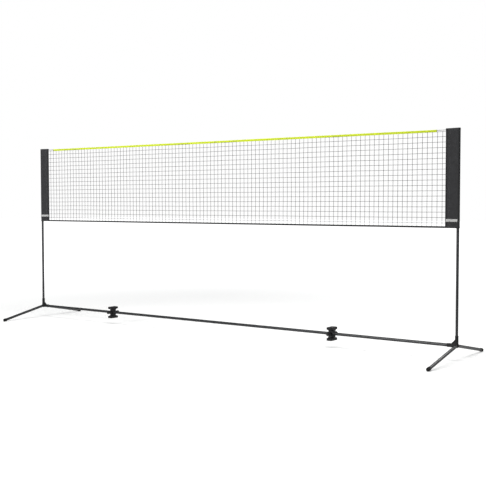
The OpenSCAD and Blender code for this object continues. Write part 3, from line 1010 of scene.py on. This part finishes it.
channel_r = cord_r + CHANNEL_GAP
start_turn = math.pi - math.asin(TAPE_HALF / channel_r)
tape_foot = cord_z + channel_r * math.cos(start_turn)
tape_edge = tape_low.z
drop = tape_foot - tape_edge
top_section = [(TAPE_HALF, tape_edge + drop * i / SIDE_STEPS) for i in range(SIDE_STEPS)]
for i in range(ARC + 1):
    turn = start_turn * (1 - 2 * i / ARC)
    top_section.append((channel_r * math.sin(turn), cord_z + channel_r * math.cos(turn)))
top_section += [(-TAPE_HALF, tape_foot - drop * (i + 1) / SIDE_STEPS) for i in range(SIDE_STEPS)]
top_tape, top_cut = fold_over("top_tape_cloth", top_section,
                              lengthwise(tape_low.x, tape_high.x, TAPE_STEP), TAPE_RIPPLE,
                              neon_cloth, TAPE_CLOTH)
part_of_net(top_tape, "tape_yellow", "top_tape")

# %% Bottom tape
FOOT_RIPPLE = 0.6 * MM
FOOT_STEP = 16 * MM
FOOT_SIDE_STEPS = 4
FOOT_ARC = 8

foot_low, foot_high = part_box("bottom_tape")
half = 0.5 * (foot_high.y - foot_low.y)
fold_z = foot_low.z + half
side_h = foot_high.z - foot_low.z - half
bottom_section = [(half, foot_high.z - side_h * i / FOOT_SIDE_STEPS)
                  for i in range(FOOT_SIDE_STEPS)]
for i in range(FOOT_ARC + 1):
    turn = math.pi * i / FOOT_ARC
    bottom_section.append((half * math.cos(turn), fold_z - half * math.sin(turn)))
bottom_section += [(-half, fold_z + side_h * (i + 1) / FOOT_SIDE_STEPS)
                   for i in range(FOOT_SIDE_STEPS)]
bottom_tape, bottom_cut = fold_over("bottom_tape_cloth", bottom_section,
                                    lengthwise(foot_low.x, foot_high.x, FOOT_STEP), FOOT_RIPPLE,
                                    binding_cloth, RIBBON)
part_of_net(bottom_tape, "tape_black", "bottom_tape")

# %% Cord
STRANDS = 8
STRAND_LAY = 14 * MM
CORD_SIDES = 16
CORD_SAG = 0.8 * MM
BARE_STEP = 1.2 * MM
HIDDEN_STEP = 60 * MM


def braided_cord():
    """A round cord whose strands stand out a little where it shows at both ends of the tape."""
    bare = tape_low.x - cord_low.x
    stations = lengthwise(cord_low.x, tape_low.x + 10 * MM, BARE_STEP)
    stations += lengthwise(tape_low.x + 30 * MM, tape_high.x - 30 * MM, HIDDEN_STEP)
    stations += lengthwise(tape_high.x - 10 * MM, cord_high.x, BARE_STEP)
    rows = []
    for x in stations:
        sag = CORD_SAG * math.sin(math.pi * min(1, (min(x - cord_low.x, cord_high.x - x)) / bare))
        row = []
        for i in range(CORD_SIDES):
            turn = 2 * math.pi * i / CORD_SIDES
            lay = 2 * math.pi * x / STRAND_LAY
            plait = math.cos(STRANDS / 2 * (turn + lay)) * math.cos(STRANDS / 2 * (turn - lay))
            r = cord_r * (0.95 + 0.05 * plait)
            row.append((x, cord_y + r * math.cos(turn), cord_z - sag + r * math.sin(turn)))
        rows.append(row)
    around = [2 * math.pi * cord_r * i / CORD_SIDES for i in range(CORD_SIDES + 1)]
    piece = loft("top_cord_braid", rows, around, stations, cord_yarn, closed=True)
    bm = bmesh.new()
    bm.from_mesh(piece.data)
    bmesh.ops.holes_fill(bm, edges=[e for e in bm.edges if e.is_boundary])
    bmesh.ops.recalc_face_normals(bm, faces=bm.faces)
    bm.to_mesh(piece.data)
    bm.free()
    part_of_net(piece, "cord_black", "top_cord")
    print(piece.name, "has", len(piece.data.polygons), "faces")


braided_cord()

# %% [markdown]
# ## Stitching
# Every seam is a row of lock stitches. A Geometry Nodes tree walks along a line, sets a point at
# each stitch and puts a small grain of thread there, turned along the line. All rows of one
# colour go through it together.

# %% Stitch tree
def stitch_tree():
    """Grains of thread at even steps along every line of a mesh."""
    tree, given = geometry_tree("lock_stitches", {
        "Pitch": ("NodeSocketFloat", 0.004),
        "Stitch Length": ("NodeSocketFloat", 0.003),
        "Thread": ("NodeSocketFloat", 0.0006),
        "Thread Material": ("NodeSocketMaterial", None),
    })
    lines = add(tree, "GeometryNodeMeshToCurve", None, {"Mesh": given["Geometry"]})
    steps = add(tree, "GeometryNodeResampleCurve", {"mode": "LENGTH"},
                {"Curve": lines.outputs[0], "Length": given["Pitch"]})
    grain = add(tree, "GeometryNodeMeshUVSphere", {"Segments": 6, "Rings": 4, "Radius": 0.5})
    size = add(tree, "ShaderNodeCombineXYZ", None,
               {"X": given["Stitch Length"], "Y": given["Thread"], "Z": given["Thread"]})
    way = add(tree, "GeometryNodeInputTangent")
    turned = add(tree, "FunctionNodeAlignRotationToVector", {"axis": "X"},
                 {"Vector": way.outputs[0]})
    placed = add(tree, "GeometryNodeInstanceOnPoints", None,
                 {"Points": steps.outputs[0], "Instance": grain.outputs["Mesh"],
                  "Rotation": turned.outputs[0], "Scale": size.outputs[0]})
    real = add(tree, "GeometryNodeRealizeInstances", None, {"Geometry": placed.outputs[0]})
    smooth = add(tree, "GeometryNodeSetShadeSmooth", None, {"Geometry": real.outputs[0]})
    finished = add(tree, "GeometryNodeSetMaterial", None,
                   {"Geometry": smooth.outputs[0], "Material": given["Thread Material"]})
    add(tree, "NodeGroupOutput", None, {"Geometry": finished.outputs[0]})
    return tree


stitching = stitch_tree()


def sew(name, lines, pitch, thread, material, slot):
    """Sews every line, a list of points, with stitches a pitch apart."""
    mesh = bpy.data.meshes.new(name + "_lines")
    spots, edges = [], []
    for line in lines:
        edges += [(len(spots) + i, len(spots) + i + 1) for i in range(len(line) - 1)]
        spots += line
    mesh.from_pydata(spots, edges, [])
    piece = grow(name, stitching, {"Pitch": pitch, "Stitch Length": 0.72 * pitch,
                                   "Thread": thread}, material, start=mesh)
    part_of_net(piece, slot)


# %% Stitches on the sleeves
STITCH_LIFT = 0.1 * MM
SLEEVE_PITCH = 4.2 * MM
STRIP_PITCH = 3.0 * MM
SLEEVE_THREAD = 0.8 * MM
BINDING_THREAD = 0.7 * MM
STRIP_THREAD = 0.5 * MM


def upright_line(plan, s, lift):
    """A line up the whole sleeve at distance s along its cloth."""
    count = 120
    low, high = plan["low"] + 3 * MM, plan["high"] - 4 * MM
    return [cloth_point(plan, s, low + (high - low) * i / count, lift) for i in range(count + 1)]


def level_line(plan, z, lift, start, end):
    """A level line from one distance along the cloth to another."""
    count = 90
    return [cloth_point(plan, start + (end - start) * i / count, z, lift) for i in range(count + 1)]


def short_line(plan, s, low, high, lift):
    """A short upright line on the strip."""
    return [cloth_point(plan, s, low + (high - low) * i / 4, lift) for i in range(5)]


for plan in plans:
    whole = plan["length"]
    grey_lines = []
    for row in SEAM_ROWS:
        grey_lines += [upright_line(plan, row, STITCH_LIFT),
                       upright_line(plan, whole - row, STITCH_LIFT)]
    grey_lines += [level_line(plan, plan["low"] + BOTTOM_HEM - 3 * MM, STITCH_LIFT,
                              BINDING_W, whole - BINDING_W),
                   level_line(plan, plan["high"] - TOP_HEM + 3 * MM, STITCH_LIFT,
                              BINDING_W, whole - BINDING_W)]
    sew(f"{plan['name']}_sleeve_stitches", grey_lines, SLEEVE_PITCH, SLEEVE_THREAD, stitch_grey,
        "sleeve_fabric")
    edge_lift = BINDING_LIFT + STITCH_LIFT
    inset = BINDING_W - 2.5 * MM
    sew(f"{plan['name']}_binding_stitches",
        [upright_line(plan, inset, edge_lift), upright_line(plan, whole - inset, edge_lift)],
        SLEEVE_PITCH, BINDING_THREAD, stitch_black, "tape_black")
    start, end, low, high = strip_edges(plan)
    inside = 1.8 * MM
    strip_lift = STRIP_LIFT + STITCH_LIFT
    low, high = low + inside, high - inside
    start, end = start - inside, end + inside
    frame_lines = [level_line(plan, z, strip_lift, end, start) for z in (low, high)]
    frame_lines += [short_line(plan, s, low, high, strip_lift) for s in (start, end)]
    sew(f"{plan['name']}_strip_stitches", frame_lines, STRIP_PITCH, STRIP_THREAD, stitch_grey,
        "label_strip")

# %% Stitches on the tapes
TAPE_PITCH = 5.0 * MM
TAPE_THREAD = 0.8 * MM
FOOT_THREAD = 0.7 * MM
# how far the stitches lie from a tape's edge, from the cord's channel and from the net
FROM_EDGE = 3 * MM
FROM_CHANNEL = 1.5 * MM
FROM_NET = 2.2 * MM


def tape_lines(ends, z, half_width, ripple, lowest, highest):
    """Two lines, on the rear and front face of a tape, that follow its ripples."""
    lines = []
    for face in (1, -1):
        line = []
        for x in lengthwise(ends[0].x + 3 * MM, ends[1].x - 3 * MM, TAPE_STEP):
            sway, lift = slack(x, z, lowest, highest, ripple)
            line.append((x, face * (half_width + STITCH_LIFT) + sway, z + lift))
        lines.append(line)
    return lines


section_top = max(z for y, z in top_section)
neon_lines = []
for z in (tape_edge + FROM_EDGE, tape_foot - FROM_CHANNEL):
    neon_lines += tape_lines((tape_low, tape_high), z, TAPE_HALF, TAPE_RIPPLE, tape_edge,
                             section_top)
sew("top_tape_stitches", neon_lines, TAPE_PITCH, TAPE_THREAD, stitch_neon, "tape_yellow")
sew("bottom_tape_stitches",
    tape_lines((foot_low, foot_high), foot_high.z - FROM_NET, half, FOOT_RIPPLE, foot_low.z,
               foot_high.z), TAPE_PITCH, FOOT_THREAD, stitch_black, "tape_black")
